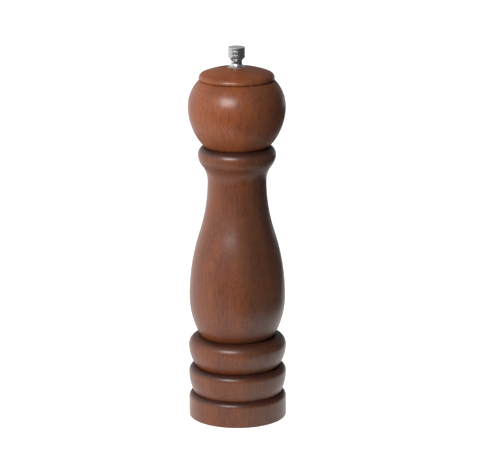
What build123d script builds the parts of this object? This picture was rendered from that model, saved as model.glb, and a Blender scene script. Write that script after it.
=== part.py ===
from build123d import *
import math
import os

# Turned wooden pepper mill with a steel grinder in its foot and a metal adjusting knob on its head.
# Millimetres, +Z up. The origin is the centre of the underside, where the mill stands.
# The head turns a square shaft through a drive plate. The shaft turns the rotor inside the
# fixed stator, and the knob on its threaded top end draws the rotor up for a finer grind.

# ---------------------------------------------------------------- body, outside
base_radius = 33.0
base_edge_round = 0.8
base_band_height = 13.0
base_shoulder_height = 4.2
lower_groove_depth = 3.2
lower_bead_rise = 14.2
lower_bead_fall = 4.3
middle_groove_depth = 4.9
upper_bead_rise = 14.4
upper_bead_fall = 6.3
upper_groove_depth = 8.2
belly_radius = 32.4
belly_rise = 27.6
waist_radius = 19.8
waist_rise = 80.1
waist_inflection = 0.553
collar_radius = 26.2
collar_rise = 18.0
collar_inflection = 0.617
collar_top_radius = 22.1
collar_fall = 5.6

# ---------------------------------------------------------------- head, outside
head_radius = 32.7
head_rise = 26.8
head_shoulder_radius = 25.0
head_fall = 17.8
cap_groove_depth = 0.8
cap_groove_height = 0.4
cap_lip_round = 0.4
cap_radius = 25.4
cap_edge_round = 3.8
cap_dome_rise = 7.9

# ---------------------------------------------------------------- body, inside
recess_depth = 11.0
mechanism_bore_depth = 29.0
chamber_radius = 13.5
mouth_radius = 15.2
mouth_depth = 18.8
mouth_chamfer = 0.6

# ---------------------------------------------------------------- head, inside
tenon_length = 15.0
tenon_chamfer = 0.8
shaft_hole_radius = 4.2
spigot_bore_radius = 4.9
spigot_bore_depth = 5.0
ferrule_seat_radius = 6.3
ferrule_seat_depth = 0.4

# ---------------------------------------------------------------- clearances
turning_gap = 0.3
metal_gap = 0.1
wood_clearance = 0.4
running_clearance = 0.08
square_clearance = 0.15
thread_clearance = 0.05
push_fit_clearance = 0.02
screw_clearance = 0.03

# ---------------------------------------------------------------- shaft and knob
shaft_side = 5.0
shaft_corner_chamfer = 0.4
thread_radius = 2.5
thread_tip_chamfer = 0.5
knob_radius = 5.65
knob_neck_radius = 3.6
knob_neck_height = 1.8
knob_taper_height = 2.0
knob_rib_heights = (2.3, 2.1, 1.4)
knob_groove_height = 0.55
knob_groove_depth = 0.4
knob_rib_round = 0.3
knob_crown_rise = 0.35
knob_top_wall = 1.0
thread_end_space = 1.6
insert_height = 1.6
insert_wall = 0.5
ferrule_radius = 5.65
ferrule_rim_height = 0.7
ferrule_height = 2.6
ferrule_spigot_length = 4.0

# ---------------------------------------------------------------- drive plate
drive_plate_radius = 12.0
drive_plate_thickness = 1.6
drive_screw_circle = 8.4
drive_screw_radius = 1.2
drive_screw_length = 8.0
drive_screw_head_radius = 2.2
drive_screw_head_height = 1.2
drive_screw_count = 2

# ---------------------------------------------------------------- grinder
grind_travel = 1.6
fine_gap = 0.3
rotor_rise = 0.8
rotor_bottom_radius = 11.0
rotor_waist_radius = 8.9
rotor_top_radius = 5.6
rotor_fine_height = 6.6
rotor_feed_height = 6.4
rotor_tooth_count = 24
rotor_tooth_depth = 0.7
rotor_twist = 14.0
breaker_count = 5
breaker_depth = 1.9
breaker_twist = 38.0
stator_outer_radius = 13.4
stator_mouth_radius = 12.6
stator_fine_height = 7.0
stator_feed_height = 6.0
stator_tooth_count = 28
stator_tooth_depth = 0.6
stator_feed_tooth_count = 10
stator_feed_tooth_depth = 0.8
housing_wall = 1.2
housing_lip_height = 1.2
housing_flange_edge = 2.1
housing_flange_thickness = 1.6
bridge_thickness = 1.2
bridge_width = 9.0
bridge_height = 25.0
bridge_leg_gap = 0.4
bridge_eye_wall = 1.8
stator_screw_wall = 0.7
stator_screw_radius = 1.5
stator_screw_length = 12.0
stator_screw_head_radius = 2.3
stator_screw_count = 2
stator_screw_head_height = 1.6
screw_slot_width = 0.6
screw_slot_depth = 0.6
bush_radius = 4.8
bush_flange_radius = 6.0
bush_flange_thickness = 1.5
bush_stand_out = 1.1
spring_wire_radius = 0.5
spring_mean_radius = 4.6
spring_turns = 4.0
seat_thickness = 0.8
seat_lip_height = 0.7
seat_lip_width = 0.6
stop_clip_radius = 4.7
stop_clip_thickness = 0.8
shaft_foot_radius = 2.2
shaft_foot_length = 3.4
foot_washer_radius = 5.0
foot_washer_thickness = 0.8
foot_clip_radius = 4.0
foot_clip_thickness = 0.8
foot_clip_groove_depth = 0.5
foot_clip_mouth = 3.0

# ---------------------------------------------------------------- heights, from the floor up
lower_groove_z = base_band_height + base_shoulder_height
lower_bead_z = lower_groove_z + lower_bead_rise
middle_groove_z = lower_bead_z + lower_bead_fall
upper_bead_z = middle_groove_z + upper_bead_rise
upper_groove_z = upper_bead_z + upper_bead_fall
belly_z = upper_groove_z + belly_rise
waist_z = belly_z + waist_rise
collar_z = waist_z + collar_rise
body_top_z = collar_z + collar_fall

head_bottom_z = body_top_z + turning_gap
head_widest_z = head_bottom_z + head_rise
head_shoulder_z = head_widest_z + head_fall
cap_lip_z = head_shoulder_z + 2 * cap_groove_height + cap_lip_round
head_top_z = cap_lip_z + cap_dome_rise
tenon_bottom_z = head_bottom_z - tenon_length
tenon_radius = mouth_radius - turning_gap
drive_plate_z = tenon_bottom_z - drive_plate_thickness

ferrule_z = head_top_z - ferrule_seat_depth + metal_gap
ferrule_spigot_radius = spigot_bore_radius - turning_gap
knob_z = ferrule_z + ferrule_height + metal_gap
knob_ribs_z = knob_z + knob_neck_height + knob_taper_height
knob_ribs_height = sum(knob_rib_heights) + knob_groove_height * (len(knob_rib_heights) - 1)
knob_hole_top_z = knob_ribs_z + knob_ribs_height - knob_top_wall
thread_top_z = knob_hole_top_z - thread_end_space - grind_travel
mill_top_z = knob_ribs_z + knob_ribs_height + knob_crown_rise
thread_bottom_z = ferrule_z - ferrule_spigot_length - grind_travel - turning_gap

flange_top_z = recess_depth - bridge_thickness
flange_bottom_z = flange_top_z - housing_flange_thickness
stator_top_z = flange_bottom_z + stator_fine_height + stator_feed_height
housing_top_z = stator_top_z + housing_lip_height
bridge_top_z = flange_top_z + bridge_height
bridge_bottom_z = bridge_top_z - bridge_thickness
bush_bottom_z = bridge_bottom_z - turning_gap - bush_flange_thickness
bush_top_z = bridge_top_z + bush_stand_out

housing_barrel_radius = stator_outer_radius + housing_wall
bridge_inner = housing_barrel_radius + bridge_leg_gap
bridge_outer = bridge_inner + bridge_thickness
mechanism_bore_radius = math.hypot(bridge_outer, bridge_width / 2) + wood_clearance
stator_screw_circle = mechanism_bore_radius + stator_screw_wall + stator_screw_radius
housing_flange_radius = stator_screw_circle + housing_flange_edge
recess_radius = housing_flange_radius + wood_clearance

rotor_z = flange_bottom_z + rotor_rise
rotor_waist_z = rotor_z + rotor_fine_height
rotor_top_z = rotor_waist_z + rotor_feed_height
seat_top_z = rotor_top_z + seat_thickness
spring_length = bush_bottom_z - seat_top_z
seat_lip_inner = spring_mean_radius + spring_wire_radius + turning_gap


# ---------------------------------------------------------------- helpers
standing = (Align.CENTER, Align.CENTER, Align.MIN)


def lathe(*edges):
    """Solid turned about Z from outline edges given as (radius, height)."""
    return revolve(Plane.XZ * make_face(Wire(edges)), Axis.Z)


def turned(*points):
    """Solid turned about Z from a closed outline of straight cuts."""
    return revolve(Plane.XZ * make_face(Polyline(*points, close=True)), Axis.Z)


def rod(radius, bottom, top):
    """Upright cylinder on the Z axis between two heights."""
    return Pos(0, 0, bottom) * Cylinder(radius, top - bottom, align=standing)


def square_rod(side, bottom, top):
    """Upright square bar on the Z axis between two heights."""
    return Pos(0, 0, bottom) * Box(side, side, top - bottom, align=standing)


def rising_arc(start, end):
    """Arc that leaves its start straight upwards."""
    return TangentArc(start, end, tangent=(0, 1))


def falling_arc(start, end):
    """Arc that leaves its start straight downwards."""
    return TangentArc(start, end, tangent=(0, -1))


def s_curve(start, end, share):
    """Two arcs, upright at both ends, that meet at a share of the way from start to end."""
    middle = tuple(a + share * (b - a) for a, b in zip(start, end))
    return rising_arc(start, middle), falling_arc(end, middle)


def around(count, radius):
    """Places spread evenly on a circle, the first on the +X axis."""
    turns = (2 * math.pi * i / count for i in range(count))
    return [(radius * math.cos(turn), radius * math.sin(turn)) for turn in turns]


def star(height, tip_radius, depth, count, turn):
    """Flat star of pointed teeth at a height, with its first tip turned from +X."""
    step = math.pi / count
    radii = [tip_radius, tip_radius - depth] * count
    points = [
        (radius * math.cos(i * step), radius * math.sin(i * step)) for i, radius in enumerate(radii)
    ]
    return Pos(0, 0, height) * Rot(0, 0, turn) * make_face(Polyline(*points, close=True))


def toothed_cone(bottom_z, top_z, bottom_radius, top_radius, depth, count, twist):
    """Cone whose side carries straight or slanted teeth."""
    low = star(bottom_z, bottom_radius, depth, count, 0)
    high = star(top_z, top_radius, depth, count, twist)
    return loft([low, high], ruled=True)


# ---------------------------------------------------------------- wooden pieces
def make_body():
    """Long turned body: beaded base, belly, waist and collar, bored through for the pepper."""
    edge = (base_radius, base_band_height)
    lower_groove = (base_radius - lower_groove_depth, lower_groove_z)
    lower_bead = (base_radius, lower_bead_z)
    middle_groove = (base_radius - middle_groove_depth, middle_groove_z)
    upper_bead = (base_radius, upper_bead_z)
    upper_groove = (base_radius - upper_groove_depth, upper_groove_z)
    belly = (belly_radius, belly_z)
    waist = (waist_radius, waist_z)
    collar = (collar_radius, collar_z)
    top = (collar_top_radius, body_top_z)
    foot = (base_radius - base_edge_round, 0)
    blank = lathe(
        Line((0, 0), foot),
        falling_arc((base_radius, base_edge_round), foot),
        Line((base_radius, base_edge_round), edge),
        rising_arc(edge, lower_groove),
        falling_arc(lower_bead, lower_groove),
        rising_arc(lower_bead, middle_groove),
        falling_arc(upper_bead, middle_groove),
        rising_arc(upper_bead, upper_groove),
        falling_arc(belly, upper_groove),
        *s_curve(belly, waist, waist_inflection),
        *s_curve(waist, collar, collar_inflection),
        rising_arc(collar, top),
        Line(top, (0, body_top_z)),
        Line((0, body_top_z), (0, 0)),
    )
    bores = [
        rod(recess_radius, 0, recess_depth),
        rod(mechanism_bore_radius, 0, recess_depth + mechanism_bore_depth),
        rod(chamber_radius, 0, body_top_z),
        rod(mouth_radius, body_top_z - mouth_depth, body_top_z),
        turned(
            (0, body_top_z - mouth_chamfer),
            (mouth_radius, body_top_z - mouth_chamfer),
            (mouth_radius + mouth_chamfer, body_top_z),
            (0, body_top_z),
        ),
    ]
    screw_top_z = flange_bottom_z + stator_screw_length
    pilot = rod(stator_screw_radius + screw_clearance, recess_depth, screw_top_z + turning_gap)
    pilots = [Pos(x, y, 0) * pilot for x, y in around(stator_screw_count, stator_screw_circle)]
    return blank - bores - pilots


def make_head():
    """Round turned head with a shallow domed cap above and a tenon that drops into the body."""
    bottom = (collar_top_radius, head_bottom_z)
    widest = (head_radius, head_widest_z)
    shoulder = (head_shoulder_radius, head_shoulder_z)
    groove = (head_shoulder_radius - cap_groove_depth, head_shoulder_z + cap_groove_height)
    lip_start = (cap_radius - cap_lip_round, cap_lip_z - cap_lip_round)
    lip = (cap_radius, cap_lip_z)
    round_centre = cap_radius - cap_edge_round
    dome_turn = 2 * math.atan((cap_dome_rise - cap_edge_round) / round_centre)
    dome_start = (
        round_centre + cap_edge_round * math.sin(dome_turn),
        cap_lip_z + cap_edge_round * math.cos(dome_turn),
    )
    tenon_corner = (tenon_radius - tenon_chamfer, tenon_bottom_z)
    blank = lathe(
        Line((0, tenon_bottom_z), tenon_corner),
        Line(tenon_corner, (tenon_radius, tenon_bottom_z + tenon_chamfer)),
        Line((tenon_radius, tenon_bottom_z + tenon_chamfer), (tenon_radius, head_bottom_z)),
        Line((tenon_radius, head_bottom_z), bottom),
        falling_arc(widest, bottom),
        rising_arc(widest, shoulder),
        Line(shoulder, groove),
        Line(groove, lip_start),
        falling_arc(lip, lip_start),
        rising_arc(lip, dome_start),
        TangentArc((0, head_top_z), dome_start, tangent=(1, 0)),
        Line((0, head_top_z), (0, tenon_bottom_z)),
    )
    seat_z = head_top_z - ferrule_seat_depth
    bores = [
        rod(shaft_hole_radius, tenon_bottom_z, head_top_z),
        rod(spigot_bore_radius, seat_z - spigot_bore_depth, head_top_z),
        rod(ferrule_seat_radius, seat_z, head_top_z),
    ]
    pilot_top_z = drive_plate_z + drive_screw_length + turning_gap
    pilot = rod(drive_screw_radius + screw_clearance, tenon_bottom_z, pilot_top_z)
    pilots = [Pos(x, y, 0) * pilot for x, y in around(drive_screw_count, drive_screw_circle)]
    return blank - bores - pilots


# ---------------------------------------------------------------- knob and ferrule
def make_ferrule():
    """Flared metal seat under the knob, with a loose spigot in the head's bore."""
    rim = (ferrule_radius, ferrule_z + ferrule_rim_height)
    top = (knob_neck_radius, ferrule_z + ferrule_height)
    spigot_z = ferrule_z - ferrule_spigot_length
    blank = lathe(
        Line((0, spigot_z), (ferrule_spigot_radius, spigot_z)),
        Line((ferrule_spigot_radius, spigot_z), (ferrule_spigot_radius, ferrule_z)),
        Line((ferrule_spigot_radius, ferrule_z), (ferrule_radius, ferrule_z)),
        Line((ferrule_radius, ferrule_z), rim),
        falling_arc(top, rim),
        Line(top, (0, ferrule_z + ferrule_height)),
        Line((0, ferrule_z + ferrule_height), (0, spigot_z)),
    )
    return blank - rod(thread_radius + turning_gap, spigot_z, ferrule_z + ferrule_height)


def rib(bottom_z, height):
    """One rounded rib of the knob."""
    disc = rod(knob_radius, bottom_z, bottom_z + height)
    return fillet(disc.edges(), knob_rib_round)


def make_knob():
    """Smooth thumb nut: straight neck, taper and rounded ribs over a blind threaded hole."""
    taper_z = knob_z + knob_neck_height
    core_radius = knob_radius - knob_groove_depth
    ribs_top_z = knob_ribs_z + knob_ribs_height
    knob = turned(
        (0, knob_z),
        (knob_neck_radius, knob_z),
        (knob_neck_radius, taper_z),
        (core_radius, knob_ribs_z),
        (core_radius, ribs_top_z - knob_rib_round),
        (0, ribs_top_z + knob_crown_rise),
    )
    rib_z = knob_ribs_z
    for height in knob_rib_heights:
        knob += rib(rib_z, height)
        rib_z += height + knob_groove_height
    knob -= rod(thread_radius + thread_clearance, knob_z, knob_hole_top_z)
    return knob - rod(thread_radius + thread_clearance + insert_wall, knob_z, knob_z + insert_height)


def make_insert():
    """Nylon ring pressed into the knob's foot, which grips the thread and holds the setting."""
    hole_radius = thread_radius + thread_clearance
    ring = rod(hole_radius + insert_wall, knob_z, knob_z + insert_height)
    return ring - rod(hole_radius, knob_z, knob_z + insert_height)


# ---------------------------------------------------------------- drive plate and screws
def pan_screw(bottom_z, radius, length, head_radius, head_height):
    """Slotted pan-head screw driven upwards, with its head just under a height."""
    head = rod(head_radius, bottom_z - head_height, bottom_z)
    head = chamfer(head.edges().group_by(Axis.Z)[0], head_height / 3)
    slot = Box(3 * head_radius, screw_slot_width, 2 * screw_slot_depth)
    shank = rod(radius, bottom_z, bottom_z + length)
    point = shank.edges().group_by(Axis.Z)[-1]
    return head + chamfer(point, radius / 2) - Pos(0, 0, bottom_z - head_height) * slot


def make_drive_plate():
    """Round steel plate under the tenon, whose square hole turns the shaft."""
    plate = rod(drive_plate_radius, drive_plate_z, tenon_bottom_z)
    plate -= square_rod(shaft_side + 2 * square_clearance, drive_plate_z, tenon_bottom_z)
    hole = rod(drive_screw_radius + screw_clearance, drive_plate_z, tenon_bottom_z)
    return plate - [Pos(x, y, 0) * hole for x, y in around(drive_screw_count, drive_screw_circle)]


def make_drive_screws():
    """Screws that hold the drive plate to the tenon."""
    screw = pan_screw(
        drive_plate_z,
        drive_screw_radius,
        drive_screw_length,
        drive_screw_head_radius,
        drive_screw_head_height,
    )
    places = around(drive_screw_count, drive_screw_circle)
    return Compound(children=[Pos(x, y, 0) * screw for x, y in places])


# ---------------------------------------------------------------- grinder
def rotor_tip(z):
    """Radius of the rotor's fine teeth at a height, carried on past their ends."""
    slope = (rotor_bottom_radius - rotor_waist_radius) / rotor_fine_height
    return rotor_bottom_radius - slope * (z - rotor_z)


def stator_tip(z):
    """Radius of the stator's fine tooth tips, clear of the rotor at its highest setting."""
    return rotor_tip(z - grind_travel) + fine_gap


def make_rotor():
    """Hardened male grinder: fine slanted teeth below and deep breaker flutes above."""
    fine = toothed_cone(
        rotor_z,
        rotor_waist_z,
        rotor_bottom_radius,
        rotor_waist_radius,
        rotor_tooth_depth,
        rotor_tooth_count,
        rotor_twist,
    )
    breaker = toothed_cone(
        rotor_waist_z,
        rotor_top_z,
        rotor_waist_radius - rotor_tooth_depth,
        rotor_top_radius,
        breaker_depth,
        breaker_count,
        breaker_twist,
    )
    hole = square_rod(shaft_side + 2 * push_fit_clearance, rotor_z, rotor_top_z)
    return fine + breaker - hole


def make_stator():
    """Hardened female grinder ring: fine teeth below, coarse teeth in the feed cone above."""
    fine_top_z = flange_bottom_z + stator_fine_height
    ring = rod(stator_outer_radius, flange_bottom_z, stator_top_z)
    fine = toothed_cone(
        flange_bottom_z,
        fine_top_z,
        stator_tip(flange_bottom_z) + stator_tooth_depth,
        stator_tip(fine_top_z) + stator_tooth_depth,
        stator_tooth_depth,
        stator_tooth_count,
        -rotor_twist,
    )
    feed = toothed_cone(
        fine_top_z,
        stator_top_z,
        stator_tip(fine_top_z) + stator_feed_tooth_depth,
        stator_mouth_radius,
        stator_feed_tooth_depth,
        stator_feed_tooth_count,
        -breaker_twist / 2,
    )
    return ring - fine - feed


def make_housing():
    """Flanged holder screwed under the body, with a lip that the stator is pressed against."""
    housing = rod(housing_barrel_radius, flange_bottom_z, housing_top_z)
    housing += rod(housing_flange_radius, flange_bottom_z, flange_top_z)
    housing -= rod(stator_outer_radius, flange_bottom_z, stator_top_z)
    housing -= rod(stator_mouth_radius, stator_top_z, housing_top_z)
    hole = rod(stator_screw_radius + screw_clearance, flange_bottom_z, flange_top_z)
    return housing - [Pos(x, y, 0) * hole for x, y in around(stator_screw_count, stator_screw_circle)]


def make_bridge():
    """Steel strap bent into an arch over the grinder, with its feet clamped by the flange."""
    foot_end = housing_flange_radius - bridge_leg_gap
    right_half = [
        (bridge_inner, bridge_bottom_z),
        (bridge_inner, flange_top_z),
        (foot_end, flange_top_z),
        (foot_end, recess_depth),
        (bridge_outer, recess_depth),
        (bridge_outer, bridge_top_z),
    ]
    left_half = [(-x, z) for x, z in reversed(right_half)]
    outline = Plane.XZ * make_face(Polyline(*right_half, *left_half, close=True))
    strap = extrude(outline, bridge_width / 2, both=True)
    eye_radius = bush_radius + running_clearance
    strap += rod(eye_radius + bridge_eye_wall, bridge_bottom_z, bridge_top_z)
    strap -= rod(eye_radius, bridge_bottom_z, bridge_top_z)
    hole = rod(stator_screw_radius + screw_clearance, flange_top_z, recess_depth)
    return strap - [Pos(x, y, 0) * hole for x, y in around(stator_screw_count, stator_screw_circle)]


def make_stator_screws():
    """Screws through the flange and the bridge's feet into the wood."""
    screw = pan_screw(
        flange_bottom_z,
        stator_screw_radius,
        stator_screw_length,
        stator_screw_head_radius,
        stator_screw_head_height,
    )
    places = around(stator_screw_count, stator_screw_circle)
    return Compound(children=[Pos(x, y, 0) * screw for x, y in places])


def make_bush():
    """Nylon bush that turns in the bridge and lets the square shaft slide through it."""
    bush = rod(bush_flange_radius, bush_bottom_z, bush_bottom_z + bush_flange_thickness)
    bush += rod(bush_radius, bush_bottom_z, bush_top_z)
    return bush - square_rod(shaft_side + 2 * square_clearance, bush_bottom_z, bush_top_z)


def make_spring():
    """Compression spring between the bush and the rotor's seat."""
    end_space = spring_wire_radius + push_fit_clearance
    rise = spring_length - 2 * end_space
    coil = Helix(rise / spring_turns, rise, spring_mean_radius)
    section = Plane(coil @ 0, z_dir=coil % 0) * Circle(spring_wire_radius)
    return Pos(0, 0, seat_top_z + end_space) * sweep(section, path=coil, is_frenet=True)


def make_spring_seat():
    """Cupped washer on the rotor that centres the spring."""
    lip_top_z = seat_top_z + seat_lip_height
    seat = rod(seat_lip_inner + seat_lip_width, rotor_top_z, lip_top_z)
    seat -= rod(seat_lip_inner, seat_top_z, lip_top_z)
    return seat - square_rod(shaft_side + 2 * push_fit_clearance, rotor_top_z, seat_top_z)


def make_shaft():
    """Square steel shaft, threaded at the top and turned down at the foot for a clip."""
    shaft = square_rod(shaft_side, rotor_z, thread_bottom_z)
    shaft = chamfer(shaft.edges().filter_by(Axis.Z), shaft_corner_chamfer)
    thread = rod(thread_radius, thread_bottom_z, thread_top_z)
    tip = thread.edges().group_by(Axis.Z)[-1]
    shaft += chamfer(tip, thread_tip_chamfer)
    shaft += rod(shaft_foot_radius, rotor_z - shaft_foot_length, rotor_z)
    groove_top_z = rotor_z - foot_washer_thickness
    groove_bottom_z = groove_top_z - foot_clip_thickness
    groove = rod(shaft_foot_radius, groove_bottom_z, groove_top_z)
    groove -= rod(shaft_foot_radius - foot_clip_groove_depth, groove_bottom_z, groove_top_z)
    return shaft - groove


def make_stop_clip():
    """Push-on retainer above the bush, which keeps the shaft in while the head is off."""
    bottom_z = bush_top_z + turning_gap
    top_z = bottom_z + stop_clip_thickness
    clip = rod(stop_clip_radius, bottom_z, top_z)
    return clip - square_rod(shaft_side + 2 * push_fit_clearance, bottom_z, top_z)


def make_foot_washer():
    """Washer that carries the rotor."""
    bottom_z = rotor_z - foot_washer_thickness
    washer = rod(foot_washer_radius, bottom_z, rotor_z)
    return washer - rod(shaft_foot_radius + thread_clearance, bottom_z, rotor_z)


def make_foot_clip():
    """Open clip in the groove at the shaft's foot."""
    top_z = rotor_z - foot_washer_thickness
    bottom_z = top_z - foot_clip_thickness
    groove_radius = shaft_foot_radius - foot_clip_groove_depth
    clip = rod(foot_clip_radius, bottom_z, top_z)
    clip -= rod(groove_radius + push_fit_clearance, bottom_z, top_z)
    mouth = Box(2 * foot_clip_radius, foot_clip_mouth, foot_clip_thickness, align=Align.MIN)
    return clip - Pos(0, -foot_clip_mouth / 2, bottom_z) * mouth


nodes = {
    "body": make_body,
    "head": make_head,
    "top_ferrule": make_ferrule,
    "adjusting_knob": make_knob,
    "knob_friction_insert": make_insert,
    "drive_plate": make_drive_plate,
    "drive_plate_screws": make_drive_screws,
    "grinder_shaft": make_shaft,
    "shaft_stop_clip": make_stop_clip,
    "rotor": make_rotor,
    "rotor_washer": make_foot_washer,
    "shaft_foot_clip": make_foot_clip,
    "spring_seat": make_spring_seat,
    "grinder_spring": make_spring,
    "bridge_bush": make_bush,
    "guide_bridge": make_bridge,
    "stator": make_stator,
    "stator_housing": make_housing,
    "stator_screws": make_stator_screws,
}

os.makedirs("parts", exist_ok=True)
for name, make in nodes.items():
    export_step(make(), f"parts/{name}.step")
print("height of the head and of the whole mill:", round(head_top_z, 2), round(mill_top_z, 2))
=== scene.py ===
# %% [markdown]
# # A turned wooden pepper mill
#
# The mill is a long turned body, a round turning head and a small metal knob, with a steel grinder in its
# foot. Its CAD model is a fixed frame: it says where every piece is and how it moves.
# This lesson puts the looks round that frame: smooth turned wood with a stain and a satin lacquer, plated
# metal, steel, nylon, and the small things that a finished product has, such as a thread and a wound spring.
# The frame is in metres, with +Z up and the origin under the middle of the foot.

import math

import bmesh
import bpy
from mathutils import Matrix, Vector


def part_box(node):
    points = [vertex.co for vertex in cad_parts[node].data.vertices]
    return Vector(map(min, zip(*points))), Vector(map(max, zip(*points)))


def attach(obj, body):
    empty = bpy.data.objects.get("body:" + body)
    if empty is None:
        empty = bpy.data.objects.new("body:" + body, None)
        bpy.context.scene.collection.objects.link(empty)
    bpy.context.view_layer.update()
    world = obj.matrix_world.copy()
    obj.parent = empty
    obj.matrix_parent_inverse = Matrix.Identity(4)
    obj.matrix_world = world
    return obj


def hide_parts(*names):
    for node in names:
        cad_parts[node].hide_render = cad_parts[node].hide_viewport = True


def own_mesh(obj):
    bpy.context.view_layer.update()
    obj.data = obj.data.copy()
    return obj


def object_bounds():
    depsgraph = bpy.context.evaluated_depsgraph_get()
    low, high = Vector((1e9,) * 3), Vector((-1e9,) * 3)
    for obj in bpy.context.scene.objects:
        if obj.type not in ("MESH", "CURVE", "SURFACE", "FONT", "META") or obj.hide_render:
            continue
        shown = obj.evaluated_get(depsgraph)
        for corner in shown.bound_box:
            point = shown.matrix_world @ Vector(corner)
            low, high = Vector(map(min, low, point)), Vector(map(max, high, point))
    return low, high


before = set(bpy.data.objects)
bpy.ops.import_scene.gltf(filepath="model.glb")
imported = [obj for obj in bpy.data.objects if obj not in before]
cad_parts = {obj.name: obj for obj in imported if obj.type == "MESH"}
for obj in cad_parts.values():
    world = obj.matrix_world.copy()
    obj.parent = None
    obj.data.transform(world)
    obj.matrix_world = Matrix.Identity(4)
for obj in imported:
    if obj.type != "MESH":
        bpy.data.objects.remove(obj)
cad_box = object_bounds()
mm = 0.001
UP, DOWN, OUT = (0, 1), (0, -1), (1, 0)

# %% [markdown]
# ## The camera
#
# A product like this is shot from about two metres with a long lens, so that its outline hardly converges.
# The lens looks down by fifteen degrees at a point near half the mill's height. A short lens close by would
# show more of the top, but it would swell the base, so the long lens was chosen.

# %% Camera
CAMERA_DISTANCE = 1.970
CAMERA_ELEVATION = math.radians(14.8)
CAMERA_LENS, SENSOR_WIDTH = 219.5, 36
CAMERA_ROLL = math.radians(-0.155)
AIM = Vector((0.0019, 0, 0.1257))
NEAREST, FARTHEST = 0.05, 50


def make_camera():
    """A camera on the mill's front side that looks down at the aim point."""
    data = bpy.data.cameras.new("camera")
    data.lens = CAMERA_LENS
    data.sensor_width = SENSOR_WIDTH
    data.clip_start, data.clip_end = NEAREST, FARTHEST
    camera = bpy.data.objects.new("camera", data)
    bpy.context.scene.collection.objects.link(camera)
    back = Vector((0, -math.cos(CAMERA_ELEVATION), math.sin(CAMERA_ELEVATION)))
    camera.location = AIM + back * CAMERA_DISTANCE
    camera.rotation_euler = (-back).to_track_quat("-Z", "Y").to_euler()
    camera.rotation_euler.rotate_axis("Z", CAMERA_ROLL)
    bpy.context.scene.camera = camera
    return camera


print("camera at", [round(x, 3) for x in make_camera().location])

# %% [markdown]
# ## Building shader graphs in code
#
# A shader is a graph of nodes. These short helpers add a node, fill its inputs and return an output socket,
# so that a material reads from top to bottom like a recipe.

# %% Shader helpers
MOST_NOISE = (0.3, 0.7)


def node(tree, kind, inputs=None, **settings):
    """Adds a node, applies its settings, then sets or links its inputs by name or number."""
    made = tree.nodes.new("ShaderNode" + kind)
    for name, value in settings.items():
        setattr(made, name, value)
    for name, value in (inputs or {}).items():
        if isinstance(value, bpy.types.NodeSocket):
            tree.links.new(value, made.inputs[name])
        else:
            made.inputs[name].default_value = value
    return made


def maths(tree, operation, first, second=0.0, clamp=False):
    """One sum on two values."""
    return node(tree, "Math", {0: first, 1: second}, operation=operation, use_clamp=clamp).outputs[0]


def remap(tree, value, low, high, to_low=0.0, to_high=1.0):
    """Smoothly maps low..high of a value to another range, held at both ends."""
    inputs = {"Value": value, "From Min": low, "From Max": high, "To Min": to_low, "To Max": to_high}
    return node(tree, "MapRange", inputs, interpolation_type="SMOOTHSTEP").outputs[0]


def blend(tree, factor, first, second, mode="MIX"):
    """Mixes two colours."""
    inputs = {0: factor, 6: first, 7: second}
    return node(tree, "Mix", inputs, data_type="RGBA", blend_type=mode).outputs[2]


def stretched(tree, vector, x, y, z):
    """The position with each axis scaled, to draw a pattern out along the fibres."""
    return node(tree, "VectorMath", {0: vector, 1: (x, y, z)}, operation="MULTIPLY").outputs[0]


def grainy(tree, vector, scale, detail=2.0, roughness=0.5):
    """Soft random noise, finer with a larger scale. It runs from 0 to 1 and lies mostly in MOST_NOISE."""
    inputs = {"Vector": vector, "Scale": scale, "Detail": detail, "Roughness": roughness}
    return node(tree, "TexNoise", inputs).outputs[0]


print("shader helpers:", [helper.__name__ for helper in (node, maths, remap, blend, stretched, grainy)])


# %% Groups and materials
def new_group(name, inputs, outputs):
    """Starts a node group with named sockets and returns its tree, input node and output node."""
    kinds = {"value": "NodeSocketFloat", "vector": "NodeSocketVector", "colour": "NodeSocketColor"}
    tree = bpy.data.node_groups.new(name, "ShaderNodeTree")
    for label, kind, default in inputs:
        socket = tree.interface.new_socket(label, in_out="INPUT", socket_type=kinds[kind])
        if default is not None:
            socket.default_value = default
    for label, kind in outputs:
        tree.interface.new_socket(label, in_out="OUTPUT", socket_type=kinds[kind])
    return tree, tree.nodes.new("NodeGroupInput"), tree.nodes.new("NodeGroupOutput")


def place(tree, group, **inputs):
    """Puts a node group into a material with its own values."""
    made = tree.nodes.new("ShaderNodeGroup")
    made.node_tree = group
    for name, value in inputs.items():
        socket = made.inputs[name.replace("_", " ")]
        if isinstance(value, bpy.types.NodeSocket):
            tree.links.new(value, socket)
        else:
            socket.default_value = value
    return made.outputs


def new_material(name):
    """Starts a material and returns it, its tree, its shader and the position on the object."""
    material = bpy.data.materials.new(name)
    material.use_nodes = True
    tree = material.node_tree
    shader = tree.nodes["Principled BSDF"]
    position = node(tree, "TexCoord").outputs["Object"]
    return material, tree, shader, position


def bump(tree, height, distance, strength=1.0):
    """Small relief: distance is how high, in metres, a height of 1 stands."""
    inputs = {"Height": height, "Distance": distance, "Strength": strength}
    return node(tree, "Bump", inputs).outputs[0]


print("group helpers:", [helper.__name__ for helper in (new_group, place, new_material, bump)])

# %% [markdown]
# ## The studio
#
# The mill stands on a pale table that is lit from below, so its outline is clear against white and it throws
# no shadow. A table lit only from above would need a far stronger soft box, which would flatten the wood.
# One soft box at the front left leaves a small warm highlight on every bead, and a bright window side at the
# left gives the lacquer its pale sheen there. Light comes back from so pale a table, so the right half of the
# wood is kept dark as in any product studio: a grey card stands at the right and a black mat lies before the
# mill. The camera doesn't see either of them.

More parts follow.
